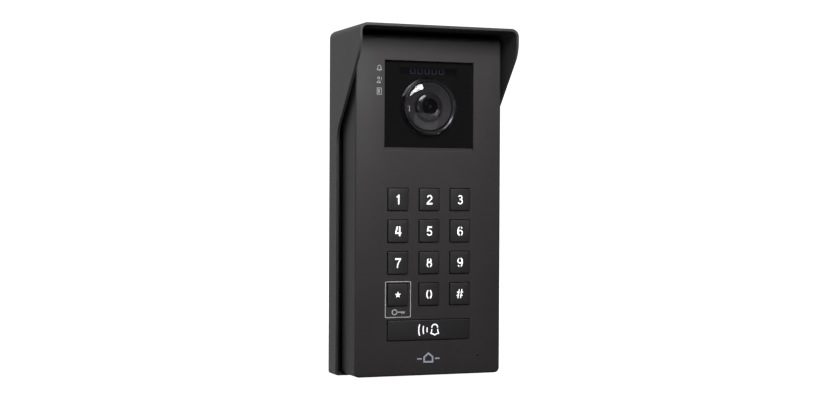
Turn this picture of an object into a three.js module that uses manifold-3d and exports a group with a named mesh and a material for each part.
// Hooded door intercom panel: camera, keypad and call button in a coated metal housing that hangs in a folded
// sheet rain hood.
// Units are millimetres. X is to the right for a visitor at the door, Y points into the wall and Z is up. The
// wall is the plane y = 0, so everything in front of it has a negative y. The origin is the middle of the wall
// face.
import * as THREE from "three";
import { mergeVertices } from "three/addons/utils/BufferGeometryUtils.js";
import Module from "manifold-3d";

const wasm = await Module();
wasm.setup();

// ---------------------------------------------------------------- driving dimensions

const HOOD = { width: 96.7, top: 100, bottom: -100, depth: 53.7, flange: 13.2, sheet: 1.5 };
const BEND = { top: 4.6, foot: 1.7 }; // outside radii of the hood's upper and lower corners
const SWEEP = { top: 92.6, radius: 17, angle: THREE.MathUtils.degToRad(41.3) }; // its S-shaped side edge
const HOUSING = { width: 89.4, top: 95.6, bottom: -99, front: -36.6, rear: -13.7, wall: 2 };
const CORNER = { radius: 3, edge: 1 }; // the housing's corners and the rounding of its front edges
const WINDOW = { width: 54.8, top: 81.1, bottom: 31.6, sill: 2, lap: 1.6, thick: 2 };
const DOME = { z: 55.2, sphere: 30, wall: 1.1 };
const DOME_SKIRT = { radius: 16.6, front: -38 };
const DOME_SHOULDER = { radius: 15.1, front: -40.2 }; // where the skirt's chamfer meets the spherical cap
const DOME_FLANGE = { radius: 17.6, thick: 1.2, seal: 0.7 };
const YOKE = { outer: 15.2, inner: 14.3, front: -37.4 }; // the bracket's ring, which carries the eye's pins
const EYE = { rim: 13.8, pivotY: -34, sleeve: 8.6, bore: 6.5, length: 9, board: 20 };
const EYE_PIN = { radius: 0.8, reach: 14.8, clearance: 0.15 };
const LENS = { mouth: 4.6, collar: 8, collarFront: -4, radius: 4.4, sphere: 6, rim: -1.9, rear: -0.4 };
const KEY = { width: 12.1, height: 12.6, pitchX: 19.1, pitchZ: 18.1, topZ: 1.8, proud: 0.8, travel: 0.9 };
const CALL = { width: 50.2, height: 11.4, z: -72.9, proud: 0.6, travel: 0.9 };
const CAP = { gap: 0.35, skin: 1, side: 1.5, flange: 1.3, flangeThick: 0.9, rim: 0.8 };
const BOARD_THICK = 1.6;
const MAIN_BOARD = { width: 80, top: 80, bottom: -82, front: -17.4 };
const KEYPAD_BOARD = { width: 76, top: 14.5, bottom: -84, front: -30.1 };
const RIB = { x: 38.4, width: 3.4, height: 4, z: 60 }; // the ribs that clamp the main board's long edges
const SCREW = { radius: 1.45, hole: 1.65, headRadius: 2.8, headThick: 1.9, boss: 3.6 };
const COVER = { plate: 2, inset: 1, panWidth: 64, panTop: 64, panBottom: -70, panRear: -4, wall: 1.5 };
const HOOK = { x: 20, z: 50, width: 10, reach: 6, rise: 4 };
const FIXING = { x: 30, z: 75, width: 4.5, length: 9 }; // the four wall-screw slots
const CABLE = { z: -38, hole: 11, grommet: 3.6 };
const SPEAKER = { radius: 9.8, y: -24, height: 5.3, seal: 0.5 };
const MICROPHONE = { x: 30.8, z: -88.6, port: 0.45, bootRadius: 4.5, capsuleRadius: 3 };
const TAMPER = { x: 22, z: 20, rod: 1.5, collar: 2.6, travel: 2, bodySide: 8 };
const ILLUMINATOR = { z: 75.5, pitch: 4.4, side: 3, thick: 1.2, width: 37, height: 5 };
const STATUS_LIGHTS = { x: -30.7, z: [76.5, 69.7, 63.2], radius: 0.9 };
const SEAL_THICK = 0.7;
const FOOT_SCREW = { y: -6.8, headRadius: 2.9, headThick: 1.2, length: 9 };
const FIT = 0.1; // face-to-face clearance of parts that seat on one another
const ROUND = 24; // sides of a round piece
const ROUND_DOME = 36; // sides of the dome and its window hole
const SMALL_ROUND = 12; // sides of a hole, boss or screw

const panelFace = HOUSING.front + HOUSING.wall; // the inside of the housing's front wall
const glassFront = panelFace + FIT;
const glassRear = glassFront + WINDOW.thick;

// ---------------------------------------------------------------- solids and how they are joined

function solid(geometry) {
  geometry.deleteAttribute("normal");
  geometry.deleteAttribute("uv");
  const merged = mergeVertices(geometry, 1e-4);
  return new wasm.Manifold(
    new wasm.Mesh({
      numProp: 3,
      vertProperties: new Float32Array(merged.attributes.position.array),
      triVerts: new Uint32Array(merged.index.array),
    }),
  );
}

function geometryOf(made) {
  const { vertProperties, triVerts } = made.getMesh();
  const geometry = new THREE.BufferGeometry()
    .setAttribute("position", new THREE.BufferAttribute(vertProperties, 3))
    .setIndex(new THREE.BufferAttribute(triVerts, 1));
  geometry.computeVertexNormals();
  return geometry;
}

const join = (...parts) => parts.reduce((whole, part) => whole.add(part));

// A box between two corners.
function block(x0, x1, y0, y1, z0, z1) {
  const box = new THREE.BoxGeometry(x1 - x0, y1 - y0, z1 - z0);
  return solid(box.translate((x0 + x1) / 2, (y0 + y1) / 2, (z0 + z1) / 2));
}

// A round bar along Y between two depths.
function bar(radius, y0, y1, x = 0, z = 0, sides = SMALL_ROUND) {
  return solid(new THREE.CylinderGeometry(radius, radius, y1 - y0, sides).translate(x, (y0 + y1) / 2, z));
}

// A round bar along Z between two heights.
function post(radius, z0, z1, x = 0, y = 0, sides = SMALL_ROUND) {
  const cylinder = new THREE.CylinderGeometry(radius, radius, z1 - z0, sides);
  return solid(cylinder.rotateX(Math.PI / 2).translate(x, y, (z0 + z1) / 2));
}

// A ring around the Y axis.
function ring(outer, inner, y0, y1, sides = ROUND) {
  return revolve([[inner, y0], [outer, y0], [outer, y1], [inner, y1], [inner, y0]], sides);
}

// A turned piece around the Y axis. Its profile holds [radius, y] points, anticlockwise with the radius to the
// right.
function revolve(profile, sides = ROUND) {
  return solid(new THREE.LatheGeometry(profile.map(([r, y]) => new THREE.Vector2(r, y)), sides));
}

// The points of a circular arc as [radius, y] pairs, for a turned profile.
function arc(centreY, radius, from, to, steps) {
  return Array.from({ length: steps + 1 }, (_, i) => {
    const angle = from + ((to - from) * i) / steps;
    return [radius * Math.sin(angle), centreY - radius * Math.cos(angle)];
  });
}

// A rectangle in x and z with its own radius for the top pair and the bottom pair of corners.
function roundedRectangle(width, bottom, top, topRadius, bottomRadius = topRadius) {
  const half = width / 2;
  const quarter = Math.PI / 2;
  return new THREE.Shape()
    .absarc(half - bottomRadius, bottom + bottomRadius, bottomRadius, -quarter, 0)
    .absarc(half - topRadius, top - topRadius, topRadius, 0, quarter)
    .absarc(-half + topRadius, top - topRadius, topRadius, quarter, 2 * quarter)
    .absarc(-half + bottomRadius, bottom + bottomRadius, bottomRadius, 2 * quarter, 3 * quarter);
}

// A shape drawn in x and z, made solid between two depths.
function slab(shape, y0, y1, curveSegments = 5) {
  const made = new THREE.ExtrudeGeometry(shape, { depth: y1 - y0, bevelEnabled: false, curveSegments });
  return solid(made.rotateX(Math.PI / 2).translate(0, y1, 0));
}

// A shape drawn in y and z, made solid between two sideways places.
function crosswise(shape, x0, x1, curveSegments = 8) {
  const made = new THREE.ExtrudeGeometry(shape, { depth: x1 - x0, bevelEnabled: false, curveSegments });
  const turn = new THREE.Matrix4().makeBasis(
    new THREE.Vector3(0, 1, 0),
    new THREE.Vector3(0, 0, 1),
    new THREE.Vector3(1, 0, 0),
  );
  return solid(made.applyMatrix4(turn).translate(x0, 0, 0));
}

// ---------------------------------------------------------------- materials

const finish = (color, roughness, metalness) => new THREE.MeshStandardMaterial({ color, roughness, metalness });
const blackCoat = finish(0x2e2d2e, 0.5, 0.3);
const keyCoat = finish(0x252426, 0.45, 0.3);
const blackPlastic = finish(0x161617, 0.55, 0);
const greyPlastic = finish(0x3b3b3e, 0.5, 0);
const smokedAcrylic = finish(0x08080a, 0.1, 0);
const clearAcrylic = finish(0xdfe6ea, 0.05, 0);
const lensGlass = finish(0x0a0812, 0.03, 0);
const lightGuide = finish(0xf4f4f8, 0.4, 0);
const rubber = finish(0x1d1d1d, 0.85, 0);
const silicone = finish(0xb9bcc0, 0.7, 0);
const circuitBoard = finish(0x17452c, 0.55, 0);
const terminalGreen = finish(0x2f7d3c, 0.5, 0);
const steel = finish(0xa6a8ab, 0.35, 1);

const panel = new THREE.Group();

function place(group, name, made, material, x = 0, y = 0, z = 0) {
  const mesh = new THREE.Mesh(geometryOf(made), material);
  mesh.name = name;
  mesh.position.set(x, y, z);
  group.add(mesh);
  return mesh;
}

function assembly(x = 0, y = 0, z = 0) {
  const group = new THREE.Group();
  group.position.set(x, y, z);
  panel.add(group);
  return group;
}

// ---------------------------------------------------------------- rain hood

// The hood seen from the side: a shallow flange at the foot, swept forward through two equal arcs.
function hoodSide() {
  const { top, radius, angle } = SWEEP;
  const sweepDepth = HOOD.depth - HOOD.flange;
  const straight = (sweepDepth - 2 * radius * (1 - Math.cos(angle))) / Math.sin(angle);
  const foot = top - 2 * radius * Math.sin(angle) - straight * Math.cos(angle);
  return new THREE.Shape()
    .moveTo(0, HOOD.top + 1)
    .lineTo(0, HOOD.bottom - 1)
    .lineTo(-HOOD.flange, HOOD.bottom - 1)
    .absarc(-HOOD.flange - radius, foot, radius, 0, angle)
    .absarc(-HOOD.depth + radius, top, radius, Math.PI + angle, Math.PI, true)
    .lineTo(-HOOD.depth, HOOD.top + 1);
}

// One upright hook, folded out of the back plate, that the housing hangs on.
function hook(x) {
  const side = HOOK.width / 2;
  const front = -HOOD.sheet - HOOK.reach;
  const neck = block(x - side, x + side, front, -HOOD.sheet / 2, HOOK.z, HOOK.z + HOOD.sheet);
  const upright = block(x - side, x + side, front, front + HOOD.sheet, HOOK.z, HOOK.z + HOOK.rise);
  return join(neck, upright);
}

// A wall-screw slot, long in the vertical direction.
function fixingSlot(x, z) {
  const slot = roundedRectangle(FIXING.width, -FIXING.length / 2, FIXING.length / 2, FIXING.width / 2 - 0.01);
  return slab(slot, -HOOD.sheet - 1, 1, 4).translate([x, 0, z]);
}

function rainHood() {
  const t = HOOD.sheet;
  const outline = roundedRectangle(HOOD.width, HOOD.bottom, HOOD.top, BEND.top, BEND.foot);
  const width = HOOD.width - 2 * t;
  const inside = roundedRectangle(width, HOOD.bottom + t, HOOD.top - t, BEND.top - t, BEND.foot - t);
  const sleeve = slab(outline, -HOOD.depth, 0).subtract(slab(inside, -HOOD.depth - 1, -t));
  const swept = sleeve.intersect(crosswise(hoodSide(), -HOOD.width, HOOD.width));
  let made = join(swept, hook(-HOOK.x), hook(HOOK.x));
  for (const x of [-FIXING.x, FIXING.x]) {
    for (const z of [-FIXING.z, FIXING.z]) made = made.subtract(fixingSlot(x, z));
  }
  const { y: footY, headRadius, headThick } = FOOT_SCREW;
  const sink = new THREE.CylinderGeometry(SCREW.hole, headRadius + 0.35, headThick + 0.3, SMALL_ROUND);
  const countersink = sink.rotateX(Math.PI / 2).translate(0, footY, HOOD.bottom + headThick / 2);
  return made
    .subtract(bar(CABLE.hole, -t - 1, 1, 0, CABLE.z, ROUND))
    .subtract(bar(TAMPER.rod + 0.7, -t - 1, 1, TAMPER.x, TAMPER.z))
    .subtract(post(SCREW.hole, HOOD.bottom - 1, HOOD.bottom + t + 1, 0, footY))
    .subtract(solid(countersink));
}

const hoodParts = assembly();
place(hoodParts, "rain_hood", rainHood(), blackCoat);

// A rubber grommet with one inner flange, so that nothing stands behind the wall face.
function cableGrommet() {
  const t = HOOD.sheet;
  const flange = ring(CABLE.hole + 2.5, CABLE.grommet, -t - FIT - 1.6, -t - FIT);
  const neck = ring(CABLE.hole - 0.2, CABLE.grommet, -t - FIT - 0.1, -FIT);
  return join(flange, neck);
}
place(hoodParts, "cable_grommet", cableGrommet(), rubber, 0, 0, CABLE.z);

// ---------------------------------------------------------------- front housing

const keyNames = ["1", "2", "3", "4", "5", "6", "7", "8", "9", "star", "0", "hash"];
const keyPlaces = keyNames.map((name, i) => ({
  name,
  x: ((i % 3) - 1) * KEY.pitchX,
  z: KEY.topZ - Math.floor(i / 3) * KEY.pitchZ,
}));
const coverScrews = [-1, 1].flatMap((side) => [
  { x: side * 39, z: HOUSING.top - 5.5, name: side < 0 ? "top_left" : "top_right" },
  { x: side * 39, z: HOUSING.bottom + 5.5, name: side < 0 ? "bottom_left" : "bottom_right" },
]);
const keypadScrews = [
  { x: -33, z: -36, name: "left" },
  { x: 33, z: -36, name: "right" },
];
const bracketPegs = [-1, 1].flatMap((side) => [
  { x: side * 34, z: DOME.z - 16 },
  { x: side * 34, z: DOME.z + 2 },
]);
const bracketFront = glassRear + DOME_FLANGE.seal + DOME_FLANGE.thick + 1.5 * FIT;

// The hole in the front wall for a key or the call button.
function buttonHole(width, height, x, z) {
  const w = width / 2 + CAP.gap;
  const h = height / 2 + CAP.gap;
  return block(x - w, x + w, HOUSING.front - 1, panelFace + 1, z - h, z + h);
}

// A short rib on a side wall, at the main board's edge.
function edgeRib(side, y0, y1, z) {
  const inner = side * RIB.x;
  const outer = side * (RIB.x + RIB.width);
  return block(Math.min(inner, outer), Math.max(inner, outer), y0, y1, z - RIB.height / 2, z + RIB.height / 2);
}

// The window opening, with a sloping sill that sheds water.
function windowOpening() {
  const half = WINDOW.width / 2;
  const opening = block(-half, half, HOUSING.front - 1, panelFace + 1, WINDOW.bottom, WINDOW.top);
  const slope = new THREE.Shape()
    .moveTo(panelFace, WINDOW.bottom)
    .lineTo(HOUSING.front, WINDOW.bottom - WINDOW.sill)
    .lineTo(HOUSING.front - 1, WINDOW.bottom - WINDOW.sill)
    .lineTo(HOUSING.front - 1, WINDOW.bottom + 1)
    .lineTo(panelFace, WINDOW.bottom + 1);
  return join(opening, crosswise(slope, -half, half));
}

function frontHousing() {
  const { width, top, bottom, front, rear, wall } = HOUSING;
  const { radius, edge } = CORNER;
  const rounded = new THREE.ExtrudeGeometry(roundedRectangle(width, bottom, top, radius), {
    depth: rear - front,
    bevelThickness: edge,
    bevelSize: edge,
    bevelOffset: -edge,
    bevelSegments: 2,
    curveSegments: 4,
  });
  const blank = solid(rounded.rotateX(Math.PI / 2).translate(0, rear + edge, 0));
  const inside = roundedRectangle(width - 2 * wall, bottom + wall, top - wall, radius - 1);
  const cutRear = block(-width, width, rear, rear + 9, bottom - 9, top + 9);
  let made = blank.subtract(slab(inside, panelFace, rear + 9)).subtract(cutRear);

  made = made.subtract(windowOpening());
  for (const key of keyPlaces) made = made.subtract(buttonHole(KEY.width, KEY.height, key.x, key.z));
  made = made.subtract(buttonHole(CALL.width, CALL.height, 0, CALL.z));

  for (const { x, z } of coverScrews) {
    made = made
      .add(bar(SCREW.boss, panelFace - 0.5, rear, x, z))
      .subtract(bar(SCREW.hole, rear - 12, rear + 1, x, z));
  }
  for (const { x, z } of keypadScrews) {
    made = made
      .add(bar(SCREW.boss, panelFace - 0.5, KEYPAD_BOARD.front - FIT, x, z))
      .subtract(bar(SCREW.hole, panelFace + 0.6, KEYPAD_BOARD.front + 1, x, z));
  }
  for (const { x, z } of bracketPegs) {
    made = made
      .add(bar(2.6, panelFace - 0.5, bracketFront - FIT, x, z))
      .add(bar(1.4, panelFace - 0.5, bracketFront + 2.6, x, z));
  }
  for (const side of [-1, 1]) {
    for (const z of [-RIB.z, RIB.z]) made = made.add(edgeRib(side, panelFace - 0.5, MAIN_BOARD.front - FIT, z));
  }
  const { x: micX, z: micZ, bootRadius, port } = MICROPHONE;
  const micCollar = bar(bootRadius + 1.4, panelFace - 0.5, panelFace + 3.4, micX, micZ);
  const micSeat = bar(bootRadius + 0.2, panelFace, panelFace + 9, micX, micZ);
  const micPort = bar(port, front - 1, panelFace + 1, micX, micZ, 12);
  made = made.add(micCollar).subtract(micSeat).subtract(micPort);

  made = made.subtract(post(1, bottom - 1, bottom + wall + 1, 0, SPEAKER.y, 12));
  for (let i = 0; i < 6; i += 1) {
    const angle = (i * Math.PI) / 3;
    const [x, y] = [5 * Math.cos(angle), SPEAKER.y + 5 * Math.sin(angle)];
    made = made.subtract(post(1, bottom - 1, bottom + wall + 1, x, y, 12));
  }
  return made;
}

const housingParts = assembly();
place(housingParts, "front_housing", frontHousing(), blackCoat);

// ---------------------------------------------------------------- camera window and dome

function windowPanel() {
  const width = WINDOW.width + 2 * WINDOW.lap;
  const sheet = roundedRectangle(width, WINDOW.bottom - WINDOW.lap, WINDOW.top + WINDOW.lap, 1.5);
  return slab(sheet, glassFront, glassRear, 3).subtract(
    bar(DOME_SKIRT.radius + 0.2, glassFront - 1, glassRear + 1, 0, DOME.z, ROUND_DOME),
  );
}
place(housingParts, "window_panel", windowPanel(), smokedAcrylic);

const camera = assembly(0, 0, DOME.z);
const domeFlangeFront = glassRear + DOME_FLANGE.seal + FIT;
const domeRear = domeFlangeFront + DOME_FLANGE.thick;

// A clear spherical cap on a chamfered skirt that passes through the window, with a flange behind it.
function cameraDome() {
  const { sphere, wall } = DOME;
  const centre = DOME_SHOULDER.front + Math.sqrt(sphere ** 2 - DOME_SHOULDER.radius ** 2);
  const outerEnd = Math.asin(DOME_SHOULDER.radius / sphere);
  const innerEnd = Math.asin((DOME_SHOULDER.radius - 0.9 * wall) / (sphere - wall));
  const innerSkirt = DOME_SKIRT.radius - wall;
  return revolve([
    ...arc(centre, sphere, 0, outerEnd, 4),
    [DOME_SKIRT.radius, DOME_SKIRT.front],
    [DOME_SKIRT.radius, domeFlangeFront],
    [DOME_FLANGE.radius, domeFlangeFront],
    [DOME_FLANGE.radius, domeRear],
    [innerSkirt, domeRear],
    [innerSkirt, DOME_SKIRT.front + 0.3],
    ...arc(centre, sphere - wall, innerEnd, 0, 4),
  ], ROUND_DOME);
}
place(camera, "camera_dome", cameraDome(), clearAcrylic);

const domeSeal = ring(
  DOME_FLANGE.radius,
  DOME_SKIRT.radius + 0.2,
  glassRear + FIT / 2,
  domeFlangeFront - FIT / 2,
  ROUND_DOME,
);
place(camera, "dome_seal", domeSeal, rubber);

// ---------------------------------------------------------------- camera bracket and tilting eye

// A plate behind the dome with a ring that lines the dome's skirt. The eye's two pins turn in it.
function cameraBracket() {
  const rear = bracketFront + 1.5;
  const plate = slab(roundedRectangle(46, -19, ILLUMINATOR.z + 4 - DOME.z, 3), bracketFront, rear, 3);
  const lugs = bracketPegs
    .filter(({ x }) => x > 0)
    .map(({ x, z }) => block(-x - 3, x + 3, bracketFront, rear, z - DOME.z - 2.6, z - DOME.z + 2.6));
  const yoke = bar(YOKE.outer, YOKE.front, rear, 0, 0, ROUND);
  let made = join(plate, ...lugs, yoke).subtract(bar(YOKE.inner, -50, 0, 0, 0, ROUND));
  const boreRadius = EYE_PIN.radius + EYE_PIN.clearance;
  const pinBore = new THREE.CylinderGeometry(boreRadius, boreRadius, 4 * YOKE.outer, SMALL_ROUND);
  made = made.subtract(solid(pinBore.rotateZ(Math.PI / 2).translate(0, EYE.pivotY, 0)));
  for (const { x, z } of bracketPegs) made = made.subtract(bar(1.6, -50, 0, x, z - DOME.z));
  return made;
}
place(camera, "camera_bracket", cameraBracket(), blackPlastic);

// Everything that tilts is built about the pivot line.
const eye = new THREE.Group();
eye.position.set(0, EYE.pivotY, 0);
camera.add(eye);

// A shallow dish with a sleeve for the lens barrel and two pivot pins.
function cameraCradle() {
  const { rim, bore, sleeve, length } = EYE;
  const dish = revolve([
    [bore, 0.3],
    [8.2, 0.3],
    [8.6, -0.4],
    [11.5, -1.2],
    [rim - 0.5, -2.5],
    [rim, -2.3],
    [rim, 1.2],
    [rim - 0.6, 2.4],
    [sleeve, 3.6],
    [sleeve, length],
    [bore, length],
    [bore, 0.3],
  ]);
  const { radius, reach } = EYE_PIN;
  const root = rim - 2;
  const pin = new THREE.CylinderGeometry(radius, radius, reach - root, SMALL_ROUND).rotateZ(Math.PI / 2);
  const pins = [-1, 1].map((side) => solid(pin.clone().translate((side * (reach + root)) / 2, 0, 0)));
  return join(dish, ...pins);
}
place(eye, "camera_cradle", cameraCradle(), greyPlastic);

// The lens barrel: a stepped mouth, a collar in front of the dish, and a body that reaches the camera board.
function lensBarrel() {
  const { mouth, collar, collarFront, rear } = LENS;
  const body = EYE.bore - 0.2;
  const seat = rear + FIT;
  return revolve([
    [0, seat],
    [mouth, seat],
    [mouth, collarFront + 1.5],
    [mouth + 0.7, collarFront + 0.8],
    [mouth + 1, collarFront],
    [collar - 0.8, collarFront],
    [collar, collarFront + 0.8],
    [collar, 0.2],
    [body, 0.3],
    [body, EYE.length],
    [0, EYE.length],
  ]);
}
place(eye, "lens_barrel", lensBarrel(), blackPlastic);

// The front lens: a domed disc in the mouth of the barrel.
function frontLens() {
  const { radius, sphere, rim, rear } = LENS;
  const half = Math.asin(radius / sphere);
  const centre = rim + sphere * Math.cos(half);
  return revolve([...arc(centre, sphere, 0, half, 4), [radius, rear], [0, rear]], 20);
}
place(eye, "front_lens", frontLens(), lensGlass);

function cameraBoard() {
  const half = EYE.board / 2;
  const front = EYE.length + 2 * FIT;
  const rear = front + 1.2;
  const sheet = block(-half, half, front, rear, -half, half);
  const socket = block(-4, 4, rear - 0.2, rear + 0.9, -half + 1, -half + 3.5);
  const sensor = block(-3.5, 3.5, front - FIT, front + 0.6, -3.5, 3.5);
  return join(sheet, socket, sensor);
}
place(eye, "camera_board", cameraBoard(), circuitBoard);

// ---------------------------------------------------------------- lights behind the window

function illuminatorBoard() {
  const { z, pitch, side, thick, width, height } = ILLUMINATOR;
  const rear = bracketFront - FIT / 2;
  const front = rear - thick;
  let made = block(-width / 2, width / 2, front, rear, z - height / 2, z + height / 2);
  for (let i = -2; i <= 2; i += 1) {
    const x = i * pitch;
    made = made.add(block(x - side / 2, x + side / 2, front - 0.7, front + 0.5, z - side / 2, z + side / 2));
  }
  return made;
}
place(housingParts, "illuminator_board", illuminatorBoard(), circuitBoard);

// Three light pipes on one strip. They carry the status lamps' light to the front wall beside the window.
function statusLightGuide() {
  const rear = MAIN_BOARD.front - 1.2;
  const zs = STATUS_LIGHTS.z;
  const strip = block(-1.6, 1.6, rear - 1.2, rear, zs[2] - 2, zs[0] + 2);
  return join(strip, ...zs.map((z) => bar(STATUS_LIGHTS.radius, panelFace + FIT, rear - 0.6, 0, z)));
}
place(housingParts, "status_light_guide", statusLightGuide(), lightGuide, STATUS_LIGHTS.x);

// ---------------------------------------------------------------- keypad and call button

const flangeFront = HOUSING.wall + FIT;
const flangeRear = flangeFront + CAP.flangeThick;
const guideRear = flangeRear + FIT + CAP.rim;

// A hollow cap with a retaining flange behind the front wall. y = 0 is the housing's front face.
function buttonCap(width, height, proud) {
  const w = width / 2;
  const h = height / 2;
  const chamfer = 0.4;
  const face = new THREE.ExtrudeGeometry(roundedRectangle(width, -h, h, 0.5), {
    depth: proud + flangeRear - 2 * chamfer,
    bevelThickness: chamfer,
    bevelSize: chamfer,
    bevelOffset: -chamfer,
    bevelSegments: 1,
    curveSegments: 2,
  });
  const body = solid(face.rotateX(Math.PI / 2).translate(0, flangeRear - chamfer, 0));
  const out = CAP.flange;
  const flange = block(-w - out, w + out, flangeFront, flangeRear, -h - out, h + out);
  const inside = CAP.side;
  return join(body, flange).subtract(
    block(-w + inside, w - inside, CAP.skin - proud, flangeRear + 1, -h + inside, h - inside),
  );
}

// The clear block inside a cap, with a rim that seats behind the cap's flange.
function buttonLightGuide(width, height, proud) {
  const slip = CAP.side + 0.15;
  const w = width / 2 - slip;
  const h = height / 2 - slip;
  const core = block(-w, w, CAP.skin - proud + FIT, guideRear, -h, h);
  return join(core, block(-w - 1, w + 1, guideRear - CAP.rim, guideRear, -h - 1, h + 1));
}

const keypad = assembly(0, HOUSING.front, 0);
for (const key of keyPlaces) {
  place(keypad, `key_${key.name}`, buttonCap(KEY.width, KEY.height, KEY.proud), keyCoat, key.x, 0, key.z);
  const guide = buttonLightGuide(KEY.width, KEY.height, KEY.proud);
  place(keypad, `key_${key.name}_light_guide`, guide, lightGuide, key.x, 0, key.z);
}
place(keypad, "call_button", buttonCap(CALL.width, CALL.height, CALL.proud), keyCoat, 0, 0, CALL.z);
const callGuide = buttonLightGuide(CALL.width, CALL.height, CALL.proud);
place(keypad, "call_button_light_guide", callGuide, lightGuide, 0, 0, CALL.z);

// The silicone mat. Its domes stand at their pressed height, a full key stroke behind the light guides.
function keyMat() {
  const rear = KEYPAD_BOARD.front - FIT;
  const padFront = HOUSING.front + guideRear + KEY.travel + FIT;
  const half = 4;
  let made = slab(roundedRectangle(57, KEYPAD_BOARD.bottom + 1, KEYPAD_BOARD.top - 2, 3), rear - 0.8, rear, 3);
  const callPads = [-18, 0, 18].map((x) => ({ x, z: CALL.z }));
  for (const { x, z } of [...keyPlaces, ...callPads]) {
    made = made.add(block(x - half, x + half, padFront, rear - 0.4, z - half, z + half));
  }
  return made;
}
place(housingParts, "key_mat", keyMat(), silicone);

function keypadBoard() {
  const { width, top, bottom, front } = KEYPAD_BOARD;
  const rear = front + BOARD_THICK;
  let made = slab(roundedRectangle(width, bottom, top, 3), front, rear, 3);
  for (const { x, z } of keypadScrews) made = made.subtract(bar(SCREW.hole, front - 1, rear + 1, x, z));
  const controller = block(-8, 8, rear - 0.2, rear + 1.6, -20, -8);
  const driver = block(14, 22, rear - 0.2, rear + 1.2, -62, -54);
  return join(made, controller, driver);
}
place(housingParts, "keypad_board", keypadBoard(), circuitBoard);

// A pan-head screw along Y with a cross-shaped driver recess. y = 0 is the seat under the head, and the tip
// points to -Y.
function panScrew(length) {
  const head = revolve([
    [0, 0],
    [SCREW.headRadius, 0],
    [SCREW.headRadius, SCREW.headThick * 0.55],
    [SCREW.headRadius * 0.62, SCREW.headThick],
    [0, SCREW.headThick],
  ], SMALL_ROUND);
  const recess = SCREW.headThick - 1;
  return join(head, bar(SCREW.radius, -length, 0.2))
    .subtract(block(-1.5, 1.5, recess, 9, -0.35, 0.35))
    .subtract(block(-0.35, 0.35, recess, 9, -1.5, 1.5));
}
for (const { x, z, name } of keypadScrews) {
  const seat = KEYPAD_BOARD.front + BOARD_THICK + FIT / 2;
  place(housingParts, `keypad_screw_${name}`, panScrew(4.6), steel, x, seat, z);
}

// ---------------------------------------------------------------- sound

// A small loudspeaker that faces down through the holes in the housing's floor. z = 0 is its front rim.
function speaker() {
  const { radius, height } = SPEAKER;
  const cone = [[0, 1.8], [4, 1.8], [8.6, 0.4], [8.6, 0]];
  const basket = [[radius, 0], [radius, 2], [7, 3], [7, height], [0, height]];
  const profile = [...cone, ...basket];
  const turned = new THREE.LatheGeometry(profile.map(([r, y]) => new THREE.Vector2(r, y)), ROUND);
  return solid(turned.rotateX(Math.PI / 2));
}
const floor = HOUSING.bottom + HOUSING.wall;
place(housingParts, "speaker", speaker(), blackPlastic, 0, SPEAKER.y, floor + SPEAKER.seal + FIT);

const gasketSheet = post(SPEAKER.radius, 0, SPEAKER.seal, 0, 0, ROUND);
const speakerGasket = gasketSheet.subtract(post(7.6, -1, 2, 0, 0, ROUND));
place(housingParts, "speaker_gasket", speakerGasket, rubber, 0, SPEAKER.y, floor + FIT / 2);

const microphoneParts = new THREE.Group();
microphoneParts.position.set(MICROPHONE.x, panelFace, MICROPHONE.z);
housingParts.add(microphoneParts);

const boot = bar(MICROPHONE.bootRadius, FIT / 2, 4.2, 0, 0, ROUND)
  .subtract(bar(MICROPHONE.capsuleRadius + 0.1, 1.2, 9, 0, 0, ROUND))
  .subtract(bar(MICROPHONE.port, -1, 9, 0, 0, 12));
place(microphoneParts, "microphone_boot", boot, rubber);
place(microphoneParts, "microphone", bar(MICROPHONE.capsuleRadius, 1.3, 4, 0, 0, ROUND), steel);

// ---------------------------------------------------------------- main board and what it carries

const boardRear = MAIN_BOARD.front + BOARD_THICK;

function mainBoard() {
  const { width, top, bottom, front } = MAIN_BOARD;
  const sheet = slab(roundedRectangle(width, bottom, top, 2), front, boardRear, 3);
  const relay = block(-30, -14, front - 8.5, front + 0.2, -66, -54);
  const processor = block(-12, 12, front - 2.2, front + 0.2, 2, 26);
  const coil = block(12, 20, front - 4, front + 0.2, -40, -32);
  const capacitors = [-28, -18].map((x) => bar(4, front - 9, front + 0.2, x, 10));
  const cameraSocket = block(-5, 5, front - 1.6, front + 0.2, 29, 33);
  return join(sheet, relay, processor, coil, ...capacitors, cameraSocket);
}
place(housingParts, "main_board", mainBoard(), circuitBoard);

const keypadRear = KEYPAD_BOARD.front + BOARD_THICK + FIT;
const linkHeader = block(-12, 12, keypadRear, MAIN_BOARD.front - FIT, -78, -73);
place(housingParts, "board_link_header", linkHeader, blackPlastic);

// Six screw terminals for power, lock and exit button wires.
function terminalBlock() {
  const pitch = 5;
  const count = 6;
  const depth = 7.6;
  const rear = boardRear + FIT + depth;
  const half = (count * pitch) / 2;
  let made = block(-half, half, boardRear + FIT, rear, -5, 5);
  for (let i = 0; i < count; i += 1) {
    const x = (i + 0.5) * pitch - half;
    made = made
      .subtract(bar(1.7, rear - 1.5, rear + 1, x, 1.6, 12))
      .subtract(block(x - 1.6, x + 1.6, boardRear + 2, boardRear + 5.6, -6, -2));
  }
  return made;
}
place(housingParts, "terminal_block", terminalBlock(), terminalGreen, 0, 0, CABLE.z);

// ---------------------------------------------------------------- tamper switch

const tamper = assembly(TAMPER.x, 0, TAMPER.z);
const switchRear = -11.4;
const rodFront = boardRear + 0.9;
const collarFront = COVER.panRear - COVER.wall - FIT - TAMPER.travel - 0.6;

function tamperSwitch() {
  const half = TAMPER.bodySide / 2;
  return block(-half, half, boardRear + FIT, switchRear, -half, half).subtract(
    bar(TAMPER.rod + 0.15, rodFront - 0.3, 0),
  );
}
place(tamper, "tamper_switch", tamperSwitch(), blackPlastic);

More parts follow.
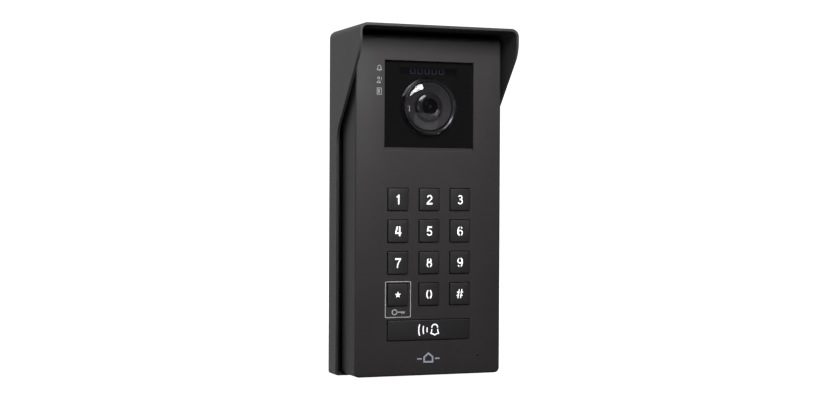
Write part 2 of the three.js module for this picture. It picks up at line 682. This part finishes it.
// The plunger is held in by the wall. Its tip springs out behind the hood when the panel is pulled off.
function tamperPlunger() {
  const tip = revolve([[0, -1], [TAMPER.rod, -1], [TAMPER.rod, -0.6], [0.9, -FIT], [0, -FIT]], SMALL_ROUND);
  return join(bar(TAMPER.rod, rodFront, -0.9), tip, bar(TAMPER.collar, collarFront, collarFront + 0.6));
}
place(tamper, "tamper_plunger", tamperPlunger(), greyPlastic);

// A compression spring around the plunger, between the switch and the plunger's collar.
function tamperSpring() {
  class Helix extends THREE.Curve {
    getPoint(t, target = new THREE.Vector3()) {
      const wire = 0.25;
      const turns = 3.5;
      const radius = TAMPER.rod + 0.15 + wire;
      const length = collarFront - switchRear - 2 * wire - 2 * FIT;
      const angle = t * turns * 2 * Math.PI;
      const y = switchRear + wire + FIT + t * length;
      return target.set(radius * Math.cos(angle), y, radius * Math.sin(angle));
    }
  }
  const wireSection = new THREE.Shape().absarc(0, 0, 0.25, 0, 2 * Math.PI);
  const sweep = { extrudePath: new Helix(), steps: 42, curveSegments: 3 };
  return solid(new THREE.ExtrudeGeometry(wireSection, sweep));
}
place(tamper, "tamper_spring", tamperSpring(), steel);

// ---------------------------------------------------------------- rear cover

const sealFront = HOUSING.rear + FIT / 2;
const sealRear = sealFront + SEAL_THICK;
const coverFront = sealRear + FIT / 2;

function coverOutline(inset) {
  const bottom = HOUSING.bottom + inset;
  return roundedRectangle(HOUSING.width - 2 * inset, bottom, HOUSING.top - inset, CORNER.radius);
}

// A flat cover with a raised pan. The hood's hooks enter the pan's slots, and the security screw enters the foot
// block.
function rearCover() {
  const { plate, panWidth, panTop, panBottom, panRear, wall } = COVER;
  const front = coverFront;
  const half = panWidth / 2;
  const sheet = slab(coverOutline(COVER.inset), front, front + plate, 3);
  const pan = block(-half, half, front, panRear, panBottom, panTop);
  const hollow = block(-half + wall, half - wall, front - 1, panRear - wall, panBottom + wall, panTop - wall);
  const footZ = HOUSING.bottom + COVER.inset;
  const foot = block(-8, 8, front + 0.5, -3.4, footZ, footZ + 10);
  let made = join(sheet, pan, foot).subtract(hollow);
  for (const x of [-HOOK.x, HOOK.x]) {
    const side = HOOK.width / 2 + 0.8;
    made = made.subtract(
      block(x - side, x + side, panRear - wall - 1, 0, HOOK.z - HOOK.rise - 0.6, HOOK.z + HOOD.sheet + 0.15),
    );
  }
  made = made.subtract(block(-17, 17, panRear - wall - 1, 0, CABLE.z - 12, CABLE.z + 12));
  made = made.subtract(bar(TAMPER.rod + 0.3, -9, 0, TAMPER.x, TAMPER.z));
  made = made.subtract(post(SCREW.hole, footZ - 1, HOOD.bottom + FOOT_SCREW.length + 0.5, 0, FOOT_SCREW.y));
  for (const side of [-1, 1]) {
    for (const z of [-RIB.z, RIB.z]) made = made.add(edgeRib(side, boardRear + FIT, front + 0.5, z));
  }
  for (const { x, z } of coverScrews) {
    made = made.subtract(bar(SCREW.hole, front - 1, front + plate + 1, x, z));
  }
  return made;
}
const rearParts = assembly();
place(rearParts, "rear_cover", rearCover(), blackPlastic);

function rearSeal() {
  const hole = roundedRectangle(
    HOUSING.width - 2 * HOUSING.wall,
    HOUSING.bottom + HOUSING.wall,
    HOUSING.top - HOUSING.wall,
    CORNER.radius - 1,
  );
  return slab(coverOutline(0.5), sealFront, sealRear, 3).subtract(slab(hole, sealFront - 1, sealRear + 1, 3));
}
place(rearParts, "rear_seal", rearSeal(), rubber);

for (const { x, z, name } of coverScrews) {
  const seat = coverFront + COVER.plate + FIT / 2;
  place(rearParts, `cover_screw_${name}`, panScrew(11), steel, x, seat, z);
}

// A countersunk security screw with a hexagonal socket, driven up through the hood's foot flange.
function footScrew() {
  const { headRadius, headThick, length } = FOOT_SCREW;
  const head = new THREE.CylinderGeometry(SCREW.radius, headRadius, headThick, SMALL_ROUND);
  const countersunk = solid(head.rotateX(Math.PI / 2).translate(0, 0, headThick / 2));
  return join(countersunk, post(SCREW.radius, headThick - 0.1, length)).subtract(post(1.1, -1, 0.9, 0, 0, 6));
}
place(rearParts, "security_screw", footScrew(), steel, 0, FOOT_SCREW.y, HOOD.bottom + 0.05);

export default panel;
